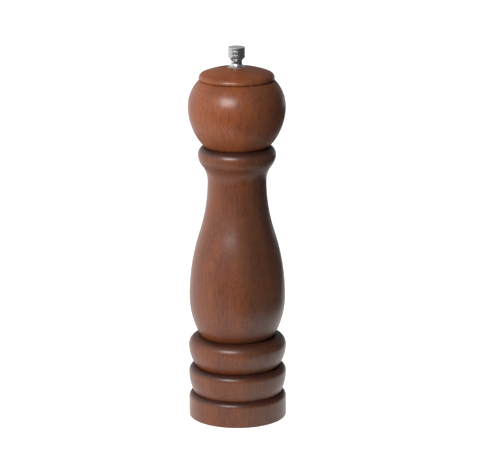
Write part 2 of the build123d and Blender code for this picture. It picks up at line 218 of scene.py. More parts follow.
# %% Table and cards
FLOOR_SIZE, TABLE_GLOW = 9.0, 1.0
TABLE_DARK, TABLE_LIGHT, TABLE_MOTTLE = (0.29, 0.29, 0.29, 1), (0.31, 0.31, 0.31, 1), 420.0
FELT_DARK, FELT_LIGHT = (0.02, 0.02, 0.02, 1), (0.035, 0.035, 0.035, 1)
CARD_DARK, CARD_LIGHT = (0.055, 0.055, 0.06, 1), (0.07, 0.07, 0.075, 1)
CARD_MOTTLE = 900.0
CARD_NEAR, CARD_FAR, CARD_HEIGHT = (0.13, -0.46), (0.19, 0.18), 0.44
MAT_LEFT, MAT_RIGHT, MAT_FRONT, MAT_BACK = -1.2, 1.6, -1.6, 1.0
MAT_NEAR_LEFT, MAT_NEAR_MILL, MAT_PAST_MILL = (0.0, -0.32), (0.03, -0.14), (0.24, -0.14)
MAT_LIFT = 0.001


def matt_material(name, first, second, scale, glow=0.0):
    """Matt paper or felt with a faint mottle. Glow is what a light table adds from below."""
    material, tree, shader, position = new_material(name)
    tone = remap(tree, grainy(tree, position, scale, 3.0), *MOST_NOISE)
    tree.links.new(blend(tree, tone, first, second), shader.inputs["Base Color"])
    shader.inputs["Roughness"].default_value = 0.9
    shader.inputs["Specular IOR Level"].default_value = 0.1
    shader.inputs["Emission Color"].default_value = (1, 1, 1, 1)
    shader.inputs["Emission Strength"].default_value = glow
    return material


def sheet(name, corners, material):
    """One flat sheet of the studio, through its corners."""
    mesh = bpy.data.meshes.new(name)
    mesh.from_pydata(corners, [], [range(len(corners))])
    mesh.materials.append(material)
    made = bpy.data.objects.new(name, mesh)
    bpy.context.scene.collection.objects.link(made)
    return made


def make_floor():
    """The lit table."""
    half = FLOOR_SIZE / 2
    acrylic = matt_material("table_acrylic", TABLE_DARK, TABLE_LIGHT, TABLE_MOTTLE, TABLE_GLOW)
    sheet("floor", [(-half, -half, 0), (half, -half, 0), (half, half, 0), (-half, half, 0)], acrylic)


def make_cards():
    """A grey card that stands to the right of the mill, and a black felt mat before it."""
    felt = matt_material("card_felt", FELT_DARK, FELT_LIGHT, CARD_MOTTLE)
    grey = matt_material("card_grey", CARD_DARK, CARD_LIGHT, CARD_MOTTLE)
    near, far = CARD_NEAR, CARD_FAR
    card_corners = [(*near, 0), (*far, 0), (*far, CARD_HEIGHT), (*near, CARD_HEIGHT)]
    mat_corners = [(MAT_LEFT, MAT_FRONT), (MAT_RIGHT, MAT_FRONT), (MAT_RIGHT, MAT_BACK)]
    mat_corners += [(MAT_PAST_MILL[0], MAT_BACK), MAT_PAST_MILL, MAT_NEAR_MILL, MAT_NEAR_LEFT]
    mat_corners += [(MAT_LEFT, MAT_NEAR_LEFT[1])]
    card = sheet("flag", card_corners, grey)
    mat = sheet("mat", [(*corner, MAT_LIFT) for corner in mat_corners], felt)
    card.visible_camera = mat.visible_camera = False
    return card, mat


make_floor()
cards = make_cards()
print("table", FLOOR_SIZE, "m wide, cards:", [card.name for card in cards])

# %% Room and light
WINDOW_SIDE = (-0.95, 0.20, 0.24)
WINDOW_WHITE = (1.25, 1.25, 1.27, 1)
ROOM_GREY = (0.42, 0.42, 0.43, 1)
ROOM_FRONT = (0.34, 0.34, 0.35, 1)
WINDOW_SPREAD, FRONT_SPREAD, CEILING_SPREAD = (0.1, 0.75), (0.55, 0.92), (0.35, 0.95)
CEILING_SHARE = 0.9


def along(tree, direction, axis):
    """How far a direction points along an axis."""
    made = node(tree, "VectorMath", {0: direction, 1: axis}, operation="DOT_PRODUCT")
    return made.outputs["Value"]


def make_room():
    """Grey walls, a bright window side at the left and a darker wall on the camera's side."""
    world = bpy.data.worlds.new("room")
    world.use_nodes = True
    tree = world.node_tree
    direction = node(tree, "TexCoord").outputs["Generated"]
    height = node(tree, "SeparateXYZ", {0: direction}).outputs[2]
    window = remap(tree, along(tree, direction, WINDOW_SIDE), *WINDOW_SPREAD)
    front = remap(tree, along(tree, direction, (0, -1, 0)), *FRONT_SPREAD)
    shade = blend(tree, front, blend(tree, window, ROOM_GREY, WINDOW_WHITE), ROOM_FRONT)
    strength = remap(tree, height, *CEILING_SPREAD, 1.0, CEILING_SHARE)
    background = tree.nodes["Background"]
    tree.links.new(shade, background.inputs["Color"])
    tree.links.new(strength, background.inputs["Strength"])
    bpy.context.scene.world = world


def soft_box(name, azimuth, distance, height, size, power):
    """A light panel that faces the middle of the mill. Azimuth 0 is on the camera's side."""
    data = bpy.data.lights.new(name, "AREA")
    data.shape, data.energy = "RECTANGLE", power
    data.size, data.size_y = size
    light = bpy.data.objects.new(name, data)
    bpy.context.scene.collection.objects.link(light)
    azimuth = math.radians(azimuth)
    light.location = (distance * math.sin(azimuth), -distance * math.cos(azimuth), height)
    middle = Vector((0, 0, cad_box[1].z / 2))
    light.rotation_euler = (middle - light.location).to_track_quat("-Z", "Y").to_euler()
    return light


make_room()
key = soft_box("key", azimuth=-24, distance=0.62, height=0.56, size=(0.38, 0.24), power=5.9)
bpy.context.scene.view_settings.view_transform = "Standard"
print("soft box at", [round(x, 3) for x in key.location], "with watts:", key.data.energy)

# %% [markdown]
# ## Outlines and the lathe
#
# A turner sees a mill as one outline that spins. So does this script: an outline is a list of
# (radius, height) points in millimetres, made of straight cuts and arcs, and the lathe spins it.
# Blender's Spin tool or Screw modifier could do it too. A lathe of our own also marks which stretch of the
# outline is which finish and how near a point is to a groove, for the stain and the painted shade, and which
# edges stay sharp.

# %% Outline helpers
ARC_STEPS, ROUND_STEPS = 18, 5
ROUND_SHARE = 0.49
SAME_POINT, ON_AXIS = 1e-4, 1e-6


def arc(start, end, leaving, steps=ARC_STEPS):
    """Points on the arc from start to end that leaves start in the given direction."""
    start, end, leaving = Vector(start), Vector(end), Vector(leaving).normalized()
    chord = end - start
    side = Vector((-leaving.y, leaving.x))
    centre = start + side * chord.length_squared / (2 * side.dot(chord))
    turn = 2 * math.atan2(leaving.x * chord.y - leaving.y * chord.x, leaving.dot(chord))
    points = []
    for i in range(steps + 1):
        angle = turn * i / steps
        spoke = start - centre
        turned = (
            spoke.x * math.cos(angle) - spoke.y * math.sin(angle),
            spoke.x * math.sin(angle) + spoke.y * math.cos(angle),
        )
        points.append((centre.x + turned[0], centre.y + turned[1]))
    return points


def arc_into(start, end, arriving, steps=ARC_STEPS):
    """Points on the arc from start to end that arrives at end from the given direction."""
    return arc(end, start, arriving, steps)[::-1]


def s_curve(start, end, share, steps=ARC_STEPS):
    """Two arcs, upright at both ends, that meet at a share of the way."""
    middle = tuple(a + share * (b - a) for a, b in zip(start, end))
    return arc(start, middle, UP, steps) + arc_into(middle, end, DOWN, steps)[1:]


def softened(corners, steps=ROUND_STEPS):
    """A line of (radius, height) or (radius, height, round) corners, with the rounds put in."""
    points = []
    for i, corner in enumerate(corners):
        here = Vector(corner[:2])
        if len(corner) == 2 or i in (0, len(corners) - 1):
            points.append(tuple(here))
            continue
        back = Vector(corners[i - 1][:2]) - here
        ahead = Vector(corners[i + 1][:2]) - here
        half_angle = back.angle(ahead) / 2
        longest = ROUND_SHARE * min(back.length, ahead.length)
        reach = min(corner[2] / math.tan(half_angle), longest)
        first = here + back.normalized() * reach
        last = here + ahead.normalized() * reach
        points += arc(first, last, here - first, steps)
    return points


def joined(*strokes):
    """Strokes of an outline as one, without doubled points."""
    points = []
    for stroke in strokes:
        for point in stroke:
            if not points or math.dist(points[-1], point) > SAME_POINT:
                points.append(tuple(point))
    return points


# %% The lathe
SEGMENTS = 160
SHARP_ANGLE = math.radians(28)
GROOVE_REACH, SHOULDER_REACH = 1.3, 7.5
NO_GROOVE = 1e3


def make_piece(name, mesh, materials, body, slot, *replaced):
    """Finishes a mesh object: materials, the body it rides on and the CAD node it stands for. Slot is not
    used.
    """
    piece = bpy.data.objects.new(name, mesh)
    bpy.context.scene.collection.objects.link(piece)
    for material in materials:
        mesh.materials.append(material)
    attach(piece, body)
    if replaced:
        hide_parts(*replaced)
    return piece


def smooth_mesh(name, work):
    """Turns bmesh work into a mesh with outward faces, smooth but for its sharp edges."""
    bmesh.ops.recalc_face_normals(work, faces=work.faces)
    for face in work.faces:
        face.smooth = True
    for edge in work.edges:
        edge.smooth = len(edge.link_faces) == 2 and edge.calc_face_angle() < SHARP_ANGLE
    mesh = bpy.data.meshes.new(name)
    work.to_mesh(mesh)
    work.free()
    return mesh


def ring_points(radius, height, segments):
    """Points round the axis, or the one point on it."""
    if radius < ON_AXIS:
        return [(0, 0, height * mm)]
    turns = [2 * math.pi * i / segments for i in range(segments)]
    return [(radius * mm * math.cos(turn), radius * mm * math.sin(turn), height * mm) for turn in turns]


def nearness(distance, reach):
    """1 at a groove, fading to 0 past its reach."""
    return math.exp(-((distance / reach) ** 2))


def lathe(name, strokes, grooves=(), segments=SEGMENTS):
    """Spins strokes about Z. A stroke is (points in mm, finish number), a groove one point of the outline."""
    work = bmesh.new()
    deep = work.verts.layers.float.new("groove")
    wide = work.verts.layers.float.new("shoulder")
    points, finishes = [], []
    for stroke, finish in strokes:
        for point in stroke:
            if points and math.dist(points[-1], point) < SAME_POINT:
                continue
            points.append(point)
            finishes.append(finish)
    if math.dist(points[0], points[-1]) < SAME_POINT:
        points.pop()
        finishes.pop()
    rings = []
    for radius, height in points:
        near = min((math.dist((radius, height), groove) for groove in grooves), default=NO_GROOVE)
        ring = [work.verts.new(point) for point in ring_points(radius, height, segments)]
        for vertex in ring:
            vertex[deep] = nearness(near, GROOVE_REACH)
            vertex[wide] = nearness(near, SHOULDER_REACH)
        rings.append(ring)
    closed = points[0][0] > ON_AXIS
    for i in range(len(rings) if closed else len(rings) - 1):
        low, high = rings[i], rings[(i + 1) % len(rings)]
        for k in range(segments):
            below = [low[k % len(low)], low[(k + 1) % len(low)]]
            above = [high[(k + 1) % len(high)], high[k % len(high)]]
            face = work.faces.new(list(dict.fromkeys(below + above)))
            face.material_index = finishes[(i + 1) % len(finishes)]
    return smooth_mesh(name, work)


# %% [markdown]
# ## Wood, and what makes it look like wood
#
# The blank is one straight-grained piece, so the patterns live in space and the turned surface cuts through
# them, as on the real mill. Images wrapped round the outside would slide over the curves instead.
# Six effects do the work, each as a node group with its own values: growth rings round a pith that lies
# outside the blank, painted shade on the blank's right side, which is nearer to it, long fibres with short
# pores, a mask of where the surface faces up or down, for end grain and for painted shade, the fine rings
# that a lathe leaves, and the traces of handling.

# %% Wood: rings and the painted shade on the right side
RING_STRETCH, RING_DRIFT_SIZE = 0.15, 30.0
LATE_FROM, LATE_FULL, LATE_FALL = 0.25, 0.88, 0.93
SHADE_EDGE_STRETCH, SHADE_EDGE_DRIFT_SIZE = 0.25, 60.0


def growth_rings_group():
    """Late wood lines of rings round a far pith, as a mask."""
    inputs = [
        ("Position", "vector", None),
        ("Pith", "vector", (0.30, 0.05, 0)),
        ("Spacing", "value", 0.0017),
        ("Wander", "value", 0.004),
    ]
    tree, given, result = new_group("growth_rings", inputs, [("Late Wood", "value")])
    offset = node(tree, "VectorMath", {0: given.outputs[0], 1: given.outputs[1]}, operation="SUBTRACT")
    slow = grainy(tree, stretched(tree, given.outputs[0], 1, 1, RING_STRETCH), RING_DRIFT_SIZE, 1.0)
    flat = stretched(tree, offset.outputs[0], 1, 1, 0)
    distance = node(tree, "VectorMath", {0: flat}, operation="LENGTH").outputs["Value"]
    wandering = maths(tree, "MULTIPLY", maths(tree, "SUBTRACT", slow, 0.5), given.outputs[3])
    rings = maths(tree, "DIVIDE", maths(tree, "ADD", distance, wandering), given.outputs[2])
    phase = maths(tree, "FRACT", rings)
    rise, fall = remap(tree, phase, LATE_FROM, LATE_FULL), remap(tree, phase, 1.0, LATE_FALL)
    tree.links.new(maths(tree, "MULTIPLY", rise, fall), result.inputs[0])
    return tree


def right_side_shade_group():
    """Painted shade: the right side of the blank, +X, with an edge that wanders along the grain."""
    inputs = [
        ("Position", "vector", None),
        ("From", "value", -0.002),
        ("To", "value", 0.013),
        ("Wander", "value", 0.012),
    ]
    tree, given, result = new_group("right_side_shade", inputs, [("Mask", "value")])
    slow = grainy(tree, stretched(tree, given.outputs[0], 1, 1, SHADE_EDGE_STRETCH), SHADE_EDGE_DRIFT_SIZE, 3.0)
    wandering = maths(tree, "MULTIPLY", maths(tree, "SUBTRACT", slow, 0.5), given.outputs[3])
    # Painted shade: this mask marks the right side of the blank, +X, to be painted darker.
    across = maths(tree, "ADD", node(tree, "SeparateXYZ", {0: given.outputs[0]}).outputs[0], wandering)
    tree.links.new(remap(tree, across, given.outputs[1], given.outputs[2]), result.inputs[0])
    return tree


growth_rings = growth_rings_group()
right_side_shade = right_side_shade_group()
print("groups of the blank:", growth_rings.name, right_side_shade.name)


# %% Wood: fibres, end grain and painted shade on upward faces
STREAK_STRETCH, PORE_STRETCH = 0.028, 0.075
PORE_LEVEL, PORE_CROWDING, PORE_EDGE, CROWD_SIZE = 0.70, 0.12, 0.07, 160.0
STREAK_RISE = 0.35


def fibres_group():
    """Long streaks and short dark pores along the grain, with the height they leave."""
    inputs = [("Position", "vector", None), ("Streak Size", "value", 0.0012), ("Pore Size", "value", 0.00045)]
    outputs = [("Streaks", "value"), ("Pores", "value"), ("Height", "value")]
    tree, given, result = new_group("fibres", inputs, outputs)
    long_way = stretched(tree, given.outputs[0], 1, 1, STREAK_STRETCH)
    streaks = grainy(tree, long_way, maths(tree, "DIVIDE", 1.0, given.outputs[1]), 3.0, 0.6)
    short_way = stretched(tree, given.outputs[0], 1, 1, PORE_STRETCH)
    specks = grainy(tree, short_way, maths(tree, "DIVIDE", 1.0, given.outputs[2]), 0.0)
    crowd = grainy(tree, long_way, CROWD_SIZE, 1.0)
    edge = maths(tree, "SUBTRACT", PORE_LEVEL, maths(tree, "MULTIPLY", crowd, PORE_CROWDING))
    pores = remap(tree, specks, edge, maths(tree, "ADD", edge, PORE_EDGE))
    raised = maths(tree, "SUBTRACT", maths(tree, "MULTIPLY", streaks, STREAK_RISE), pores)
    tree.links.new(streaks, result.inputs[0])
    tree.links.new(pores, result.inputs[1])
    tree.links.new(raised, result.inputs[2])
    return tree


def end_grain_and_shade_group():
    """Where the surface faces up, and by the Underside share where it faces down. It stands for end grain,
    and for painted shade on upward faces.
    """
    inputs = [("From", "value", 0.05), ("To", "value", 0.7), ("Underside", "value", 0.05)]
    tree, given, result = new_group("end_grain_and_shade", inputs, [("Mask", "value")])
    normal = node(tree, "NewGeometry").outputs["Normal"]
    upright = node(tree, "SeparateXYZ", {0: normal}).outputs[2]
    # With a small Underside this marks upward faces, which the stained wood paints in shade.
    under = maths(tree, "MULTIPLY", maths(tree, "MULTIPLY", upright, -1.0), given.outputs[2])
    facing = maths(tree, "MAXIMUM", upright, under)
    tree.links.new(remap(tree, facing, given.outputs[0], given.outputs[1]), result.inputs[0])
    return tree


fibres = fibres_group()
end_grain_and_shade = end_grain_and_shade_group()
print("groups of the grain:", fibres.name, end_grain_and_shade.name)


# %% Wood: lathe marks and handling
HAIRLINE_BEND, HAIRLINE_WIDTH = (0.9, 1.3, 0.35), 0.004
HAIRLINE_PATCHES, PATCH_RANGE = (0.55, 0.65), (0.35, 0.68)


def lathe_marks_group():
    """Fine uneven rings round the axis."""
    inputs = [("Position", "vector", None), ("Spacing", "value", 0.0006)]
    tree, given, result = new_group("lathe_marks", inputs, [("Height", "value")])
    parts = node(tree, "SeparateXYZ", {0: given.outputs[0]}).outputs
    across = node(tree, "VectorMath", {0: stretched(tree, given.outputs[0], 1, 1, 0)}, operation="LENGTH")
    section = node(tree, "CombineXYZ", {0: across.outputs["Value"], 1: parts[2]}).outputs[0]
    rings = grainy(tree, section, maths(tree, "DIVIDE", 1.0, given.outputs[1]), 2.0, 0.7)
    tree.links.new(rings, result.inputs[0])
    return tree


def handling_group():
    """Soft patches where hands rub the finish, and faint hairline scratches."""
    inputs = [("Position", "vector", None), ("Patch Size", "value", 0.018), ("Hairlines", "value", 0.0011)]
    outputs = [("Patches", "value"), ("Scratches", "value")]
    tree, given, result = new_group("handling", inputs, outputs)
    patches = grainy(tree, given.outputs[0], maths(tree, "DIVIDE", 1.0, given.outputs[1]), 3.0, 0.55)
    bent = stretched(tree, given.outputs[0], *HAIRLINE_BEND)
    lines = grainy(tree, bent, maths(tree, "DIVIDE", 1.0, given.outputs[2]), 1.0)
    near = maths(tree, "ABSOLUTE", maths(tree, "SUBTRACT", lines, 0.5))
    thin = remap(tree, near, HAIRLINE_WIDTH, 0.0)
    few = maths(tree, "MULTIPLY", thin, remap(tree, patches, *HAIRLINE_PATCHES))
    tree.links.new(remap(tree, patches, *PATCH_RANGE), result.inputs[0])
    tree.links.new(few, result.inputs[1])
    return tree


lathe_marks = lathe_marks_group()
handling = handling_group()
print("groups of the making and the use:", lathe_marks.name, handling.name)

# %% [markdown]
# ## Four finishes of the same wood
#
# Outside, the wood carries a reddish-brown stain under a satin lacquer. The lacquer is the shader's coat: it
# gives the small soft highlights, while the wood below stays quite matt. The head is from another blank than
# the body, and took a brighter stain. The grooves are darkened with stain and painted shade, and the upward
# faces near them carry painted shade. The lacquer is thinner in the grooves and soaks into end grain, so it
# looks duller there. The foot ring is rubbed on the table.
# Inside the bores the wood is raw and pale, because a mill for food is left unfinished there.

# %% Colour of the wood
STAIN_DEEP = (0.036, 0.012, 0.008, 1)
STAIN_MID = (0.108, 0.028, 0.0105, 1)
STAIN_WARM = (0.185, 0.048, 0.0115, 1)
RIGHT_SHADE_TINT = (0.50, 1.0, 2.1, 1)
RAW_DARK = (0.33, 0.20, 0.105, 1)
RAW_LIGHT = (0.58, 0.40, 0.24, 1)
FIGURE_STRETCH, FIGURE_SIZE, FIGURE_RANGE = 0.25, 70.0, (0.35, 0.65)
STREAK_RANGE = (0.32, 0.70)
RING_SHOWS, PORE_SHOWS = 0.20, 0.62


def wood_colour(tree, position, deep, mid, warm, right_shade):
    """Base colour of the cut wood, and its fibres. Right shade is how strongly the right side is painted in
    shade.
    """
    grain = place(tree, fibres, Position=position)
    rings = place(tree, growth_rings, Position=position)[0]
    figure = grainy(tree, stretched(tree, position, 1, 1, FIGURE_STRETCH), FIGURE_SIZE, 2.0)
    from_streaks = remap(tree, grain[0], *STREAK_RANGE, 0, 0.5)
    from_figure = remap(tree, figure, *FIGURE_RANGE, 0, 0.5)
    colour = blend(tree, maths(tree, "ADD", from_streaks, from_figure), mid, warm)
    # Painted shade: the tint darkens and greys the right side of the wood.
    inner = place(tree, right_side_shade, Position=position)[0]
    colour = blend(tree, maths(tree, "MULTIPLY", inner, right_shade), colour, RIGHT_SHADE_TINT, "MULTIPLY")
    colour = blend(tree, maths(tree, "MULTIPLY", rings, RING_SHOWS), colour, deep)
    colour = blend(tree, maths(tree, "MULTIPLY", grain[1], PORE_SHOWS), colour, deep)
    return colour, grain


def scaled(colour, share):
    """A colour made brighter or darker."""
    return (*(share * channel for channel in colour[:3]), 1)


print("stain colours from deep to warm:", STAIN_DEEP[:3], STAIN_MID[:3], STAIN_WARM[:3])

# %% Stained wood
SHOULDER_SHADE, PLAIN_TOP_SHADE, GROOVE_STAIN_AND_SHADE = 1.1, 0.1, 0.85
WOOD_ROUGH, PATCH_ROUGH, PORE_ROUGH = 0.46, 0.08, 0.2
SCRATCH_COAT_LOSS, GROOVE_COAT_LOSS, END_COAT_LOSS = 0.3, 0.4, 0.6
END_COAT_FROM, END_COAT_TO, END_COAT_UNDERSIDE = 0.4, 0.95, 1.6
COAT_IOR, STAINED_SPECULAR = 1.48, 0.08
GRAIN_RISE, MARKS_RISE, STAINED_RELIEF = 0.5, 0.4, 0.00006


def stain_and_painted_shade(tree, groove):
    """How much darker the wood is painted: painted shade on upward faces, most near a groove, and stain with
    painted shade in the groove itself.
    """
    across = place(tree, end_grain_and_shade)[0]
    shoulder = node(tree, "Attribute", attribute_name="shoulder").outputs["Fac"]
    # Painted shade: upward faces near a groove, the shoulders, are darkened most, and all upward faces a
    # little.
    share = maths(tree, "ADD", maths(tree, "MULTIPLY", shoulder, SHOULDER_SHADE), PLAIN_TOP_SHADE)
    painted_top_shade = maths(tree, "MULTIPLY", across, share)
    # In the groove itself the darkening is stain and painted shade together.
    return maths(tree, "MAXIMUM", painted_top_shade, maths(tree, "MULTIPLY", groove, GROOVE_STAIN_AND_SHADE))


def coat_left(tree, lacquer, scratches, groove):
    """The lacquer, less what scratches, grooves and thirsty end grain take from it."""
    coat = maths(tree, "SUBTRACT", lacquer, maths(tree, "MULTIPLY", scratches, SCRATCH_COAT_LOSS))
    coat = maths(tree, "SUBTRACT", coat, maths(tree, "MULTIPLY", groove, GROOVE_COAT_LOSS))
    limits = {"From": END_COAT_FROM, "To": END_COAT_TO, "Underside": END_COAT_UNDERSIDE}
    thirsty = place(tree, end_grain_and_shade, **limits)[0]
    return maths(tree, "SUBTRACT", coat, maths(tree, "MULTIPLY", thirsty, END_COAT_LOSS), clamp=True)


def stained_material(name, depth, right_shade, lacquer, dullness, rubbed):
    """Stained wood. Depth scales the stain's brightness, right shade is how strongly the right side is
    painted dark, lacquer is the coat's weight and dullness its roughness, and rubbed is how far handling has
    worn the stain."""
    material, tree, shader, position = new_material(name)
    deep, mid, warm = [scaled(stain, depth) for stain in (STAIN_DEEP, STAIN_MID, STAIN_WARM)]
    colour, grain = wood_colour(tree, position, deep, mid, warm, right_shade)
    groove = node(tree, "Attribute", attribute_name="groove").outputs["Fac"]
    # Stain and painted shade darken the grooves, and painted shade darkens the upward faces.
    colour = blend(tree, stain_and_painted_shade(tree, groove), colour, deep)
    patches, scratches = place(tree, handling, Position=position)
    colour = blend(tree, maths(tree, "MULTIPLY", patches, rubbed), colour, warm)
    tree.links.new(colour, shader.inputs["Base Color"])
    rough = maths(tree, "ADD", maths(tree, "MULTIPLY", patches, PATCH_ROUGH), WOOD_ROUGH)
    rough = maths(tree, "ADD", rough, maths(tree, "MULTIPLY", grain[1], PORE_ROUGH), clamp=True)
    tree.links.new(rough, shader.inputs["Roughness"])
    shader.inputs["Specular IOR Level"].default_value = STAINED_SPECULAR
    tree.links.new(coat_left(tree, lacquer, scratches, groove), shader.inputs["Coat Weight"])
    shader.inputs["Coat Roughness"].default_value = dullness
    shader.inputs["Coat IOR"].default_value = COAT_IOR
    marks = place(tree, lathe_marks, Position=position)[0]
    fibre_height = maths(tree, "MULTIPLY", grain[2], GRAIN_RISE)
    height = maths(tree, "ADD", fibre_height, maths(tree, "MULTIPLY", marks, MARKS_RISE))
    tree.links.new(bump(tree, height, STAINED_RELIEF, strength=0.5), shader.inputs["Normal"])
    return material


# Right shade sets how dark the painted shade on the right side of each piece is.
body_wood = stained_material("body_wood", depth=0.90, right_shade=0.6, lacquer=0.72, dullness=0.32, rubbed=0.10)
head_wood = stained_material("head_wood", depth=1.29, right_shade=0.35, lacquer=0.54, dullness=0.30, rubbed=0.10)
foot_wood = stained_material("foot_wood", depth=0.85, right_shade=0.6, lacquer=0.15, dullness=0.5, rubbed=0.35)
print("stained finishes:", [material.name for material in (body_wood, head_wood, foot_wood)])

# %% Raw wood
RAW_ROUGH, RAW_STREAK_ROUGH, RAW_SPECULAR = 0.65, 0.2, 0.25
RAW_END_SHADE, RAW_MARK_SPACING, RAW_RELIEF = 0.5, 0.0009, 0.00012


def raw_material(name):
    """Unfinished wood, with the marks of the boring tool."""
    material, tree, shader, position = new_material(name)
    colour, grain = wood_colour(tree, position, RAW_DARK, RAW_DARK, RAW_LIGHT, 0.0)
    across = place(tree, end_grain_and_shade)[0]
    colour = blend(tree, maths(tree, "MULTIPLY", across, RAW_END_SHADE), colour, RAW_DARK)
    tree.links.new(colour, shader.inputs["Base Color"])
    rough = maths(tree, "MULTIPLY", grain[0], RAW_STREAK_ROUGH)
    tree.links.new(maths(tree, "ADD", rough, RAW_ROUGH, clamp=True), shader.inputs["Roughness"])
    shader.inputs["Specular IOR Level"].default_value = RAW_SPECULAR
    marks = place(tree, lathe_marks, Position=position, Spacing=RAW_MARK_SPACING)[0]
    height = maths(tree, "ADD", grain[2], marks)
    tree.links.new(bump(tree, height, RAW_RELIEF, strength=0.7), shader.inputs["Normal"])
    return material


raw_wood = raw_material("raw_wood")
LACQUERED, RAW, FOOT = 0, 1, 2
print("raw finish:", raw_wood.name)

# %% [markdown]
# ## The body
#
# From the foot up: a straight band with a rounded shoulder, two beads with tight tops and long lower curves,
# a belly, a long waist, and a collar bead under the head. Two beads meet in a crisp V, which the wood's
# colour darkens with stain and painted shade. The outline repeats the CAD's own arcs, and the last line
# measures how well it fits the frame.

# %% Body
BASE_RADIUS = 33.0
LOWER_GROOVE, LOWER_BEAD = (29.8, 17.2), (BASE_RADIUS, 31.4)
MIDDLE_GROOVE, UPPER_BEAD = (28.1, 35.7), (BASE_RADIUS, 50.1)
UPPER_GROOVE, BELLY = (24.8, 56.4), (32.4, 84.0)
WAIST, COLLAR, COLLAR_TOP = (19.8, 164.1), (26.2, 182.1), (22.1, 187.7)
BELLY_SHARE, WAIST_SHARE = 0.553, 0.617
FOOT_EDGE, FOOT_INNER_EDGE, BAND_TOP = 0.8, 0.5, 13.0
RECESS_RADIUS, RECESS_TOP = 22.0, 11.0
MECHANISM_RADIUS, MECHANISM_TOP = 17.2, 40.0
CHAMBER_RADIUS = 13.5
MOUTH_RADIUS, MOUTH_DEPTH, MOUTH_CHAMFER = 15.2, 18.8, 0.6
RIM_INSIDE = MOUTH_RADIUS + MOUTH_CHAMFER + 0.4
FINE_ROUND, BORE_ROUND = 0.3, 0.4


def body_outside():
    """The turned outline, from the foot to the top of the collar."""
    return joined(
        arc_into((BASE_RADIUS - FOOT_EDGE, 0), (BASE_RADIUS, FOOT_EDGE), DOWN, steps=6),
        arc((BASE_RADIUS, BAND_TOP), LOWER_GROOVE, UP, steps=14),
        arc_into(LOWER_GROOVE, LOWER_BEAD, DOWN),
        arc(LOWER_BEAD, MIDDLE_GROOVE, UP),
        arc_into(MIDDLE_GROOVE, UPPER_BEAD, DOWN),
        arc(UPPER_BEAD, UPPER_GROOVE, UP),
        arc_into(UPPER_GROOVE, BELLY, DOWN, steps=28),
        s_curve(BELLY, WAIST, BELLY_SHARE, steps=30),
        s_curve(WAIST, COLLAR, WAIST_SHARE, steps=18),
        arc(COLLAR, COLLAR_TOP, UP, steps=14),
    )


def body_inside():
    """The bores, from the mouth down to the recess in the foot."""
    top = COLLAR_TOP[1]
    return softened(
        [
            (RIM_INSIDE, top),
            (MOUTH_RADIUS + MOUTH_CHAMFER, top, FINE_ROUND),
            (MOUTH_RADIUS, top - MOUTH_CHAMFER, FINE_ROUND),
            (MOUTH_RADIUS, top - MOUTH_DEPTH, BORE_ROUND),
            (CHAMBER_RADIUS, top - MOUTH_DEPTH, BORE_ROUND),
            (CHAMBER_RADIUS, MECHANISM_TOP, BORE_ROUND),
            (MECHANISM_RADIUS, MECHANISM_TOP, BORE_ROUND),
            (MECHANISM_RADIUS, RECESS_TOP, FINE_ROUND),
            (RECESS_RADIUS, RECESS_TOP, FINE_ROUND),
            (RECESS_RADIUS, FOOT_INNER_EDGE),
        ]
    )


rim = [COLLAR_TOP, (RIM_INSIDE, COLLAR_TOP[1])]
foot_ring = [
    (RECESS_RADIUS, FOOT_INNER_EDGE),
    (RECESS_RADIUS + FOOT_INNER_EDGE, 0),
    (BASE_RADIUS - FOOT_EDGE, 0),
]
body_mesh = lathe(
    "body_wood",
    [(body_outside(), LACQUERED), (rim, LACQUERED), (body_inside(), RAW), (foot_ring, FOOT)],
    [LOWER_GROOVE, MIDDLE_GROOVE, UPPER_GROOVE, COLLAR_TOP],
)
make_piece("body_wood", body_mesh, [body_wood, raw_wood, foot_wood], "mill_body", "stained_wood", "body")
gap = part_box("body")[1].z - COLLAR_TOP[1] * mm
print("body faces:", len(body_mesh.polygons), "difference from the frame in mm:", round(gap / mm, 3))

# %% [markdown]
# ## The head
#
# The head is one turned piece too: a round shape whose top is cut into a thin groove, with a shallow domed
# cap above it. Its tenon drops into the body's mouth, and shows when the head is lifted for filling.

# %% Head
HEAD_BOTTOM, HEAD_WIDEST, HEAD_SHOULDER = (22.1, 188.0), (32.7, 214.8), (25.0, 232.6)
CAP_GROOVE, CAP_LIP_START, CAP_LIP = (24.2, 233.0), (25.0, 233.4), (25.4, 233.8)
CAP_EDGE_ROUND, CAP_DOME_RISE = 3.8, 7.9
HEAD_TOP = CAP_LIP[1] + CAP_DOME_RISE
SEAT_RADIUS, SEAT_DEPTH, SEAT_LIP = 6.3, 0.4, 0.2
SEAT_Z = HEAD_TOP - SEAT_DEPTH
SPIGOT_BORE, SPIGOT_DEPTH, SHAFT_HOLE = 4.9, 5.0, 4.2
SPIGOT_BORE_Z = SEAT_Z - SPIGOT_DEPTH
TENON_RADIUS, TENON_BOTTOM, TENON_CHAMFER = 14.9, 173.0, 0.8
TENON_ROUND = 0.2


def cap_points():
    """Lip, rounded edge and shallow dome, which runs smoothly out of the edge."""
    centre = CAP_LIP[0] - CAP_EDGE_ROUND
    turn = 2 * math.atan((CAP_DOME_RISE - CAP_EDGE_ROUND) / centre)
    start = (centre + CAP_EDGE_ROUND * math.sin(turn), CAP_LIP[1] + CAP_EDGE_ROUND * math.cos(turn))
    dome = arc((0, HEAD_TOP), start, OUT, steps=40)[::-1]
    flat = [point for point in dome if point[0] > SEAT_RADIUS + SEAT_LIP]
    lip = arc_into(CAP_LIP_START, CAP_LIP, DOWN, steps=5)
    return joined(lip, arc(CAP_LIP, start, UP, steps=14), flat)


